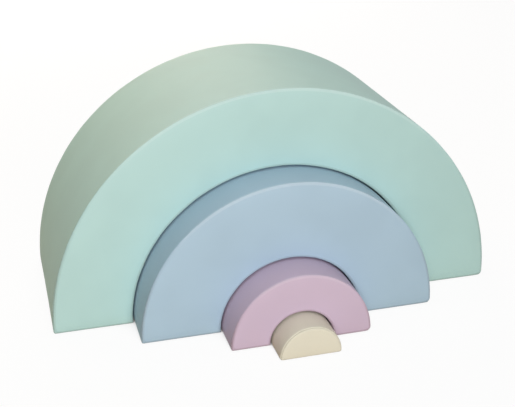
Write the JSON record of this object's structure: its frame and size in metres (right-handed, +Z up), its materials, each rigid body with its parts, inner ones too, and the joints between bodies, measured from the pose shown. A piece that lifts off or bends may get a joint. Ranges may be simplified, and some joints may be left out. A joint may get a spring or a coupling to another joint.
{
  "type": "nesting foam rainbow",
  "caption": "Nesting rainbow of leatherette-covered foam blocks: arches that slide inside one another around a half-round core, each with a zipped removable cover.",
  "frame": {"origin": "centre of the footprint at the floor, in the pose of the picture", "axes": "+X to the right seen from the front, +Y towards the back along the arches' common axis, +Z up"},
  "size_m": [0.8, 0.477, 0.4],
  "materials": {
    "mint_leatherette": "satin",
    "blue_leatherette": "satin",
    "lilac_leatherette": "satin",
    "cream_leatherette": "satin",
    "foam": "matte",
    "zip_tape": "matte",
    "zip_teeth": "satin",
    "zip_slider": "satin"
  },
  "bodies": {
    "mint_arch": {"mint_foam_core": "foam", "mint_front_panel": "mint_leatherette", "mint_back_panel": "mint_leatherette", "mint_outer_band": "mint_leatherette", "mint_inner_band": "mint_leatherette", "mint_left_foot": "mint_leatherette", "mint_right_foot": "mint_leatherette", "mint_zip_tapes": "zip_tape", "mint_zip_teeth": "zip_teeth"},
    "mint_slider": {"mint_zip_slider": "zip_slider"},
    "blue_arch": {"blue_foam_core": "foam", "blue_front_panel": "blue_leatherette", "blue_back_panel": "blue_leatherette", "blue_outer_band": "blue_leatherette", "blue_inner_band": "blue_leatherette", "blue_left_foot": "blue_leatherette", "blue_right_foot": "blue_leatherette", "blue_zip_tapes": "zip_tape", "blue_zip_teeth": "zip_teeth"},
    "blue_slider": {"blue_zip_slider": "zip_slider"},
    "lilac_arch": {"lilac_foam_core": "foam", "lilac_front_panel": "lilac_leatherette", "lilac_back_panel": "lilac_leatherette", "lilac_outer_band": "lilac_leatherette", "lilac_inner_band": "lilac_leatherette", "lilac_left_foot": "lilac_leatherette", "lilac_right_foot": "lilac_leatherette", "lilac_zip_tapes": "zip_tape", "lilac_zip_teeth": "zip_teeth"},
    "lilac_slider": {"lilac_zip_slider": "zip_slider"},
    "cream_half_round": {"cream_foam_core": "foam", "cream_front_panel": "cream_leatherette", "cream_back_panel": "cream_leatherette", "cream_top_band": "cream_leatherette", "cream_base_panel": "cream_leatherette", "cream_zip_tapes": "zip_tape", "cream_zip_teeth": "zip_teeth"},
    "cream_slider": {"cream_zip_slider": "zip_slider"}
  },
  "joints": [
    {"name": "blue_arch_slide", "type": "slide", "parent": "mint_arch", "child": "blue_arch", "axis": [0, -1, 0], "range_m": [-0.071, 0.234]},
    {"name": "lilac_arch_slide", "type": "slide", "parent": "blue_arch", "child": "lilac_arch", "axis": [0, -1, 0], "range_m": [-0.062, 0.243]},
    {"name": "cream_half_round_slide", "type": "slide", "parent": "lilac_arch", "child": "cream_half_round", "axis": [0, -1, 0], "range_m": [-0.049, 0.256]},
    {"name": "mint_slider_slide", "type": "slide", "parent": "mint_arch", "child": "mint_slider", "axis": [0, -1, 0], "range_m": [0, 0.228], "deforming": ["mint_zip_teeth"]},
    {"name": "blue_slider_slide", "type": "slide", "parent": "blue_arch", "child": "blue_slider", "axis": [0, -1, 0], "range_m": [0, 0.228], "deforming": ["blue_zip_teeth"]},
    {"name": "lilac_slider_slide", "type": "slide", "parent": "lilac_arch", "child": "lilac_slider", "axis": [0, -1, 0], "range_m": [0, 0.228], "deforming": ["lilac_zip_teeth"]},
    {"name": "cream_slider_slide", "type": "slide", "parent": "cream_half_round", "child": "cream_slider", "axis": [0, -1, 0], "range_m": [0, 0.228], "deforming": ["cream_zip_teeth"]}
  ]
}
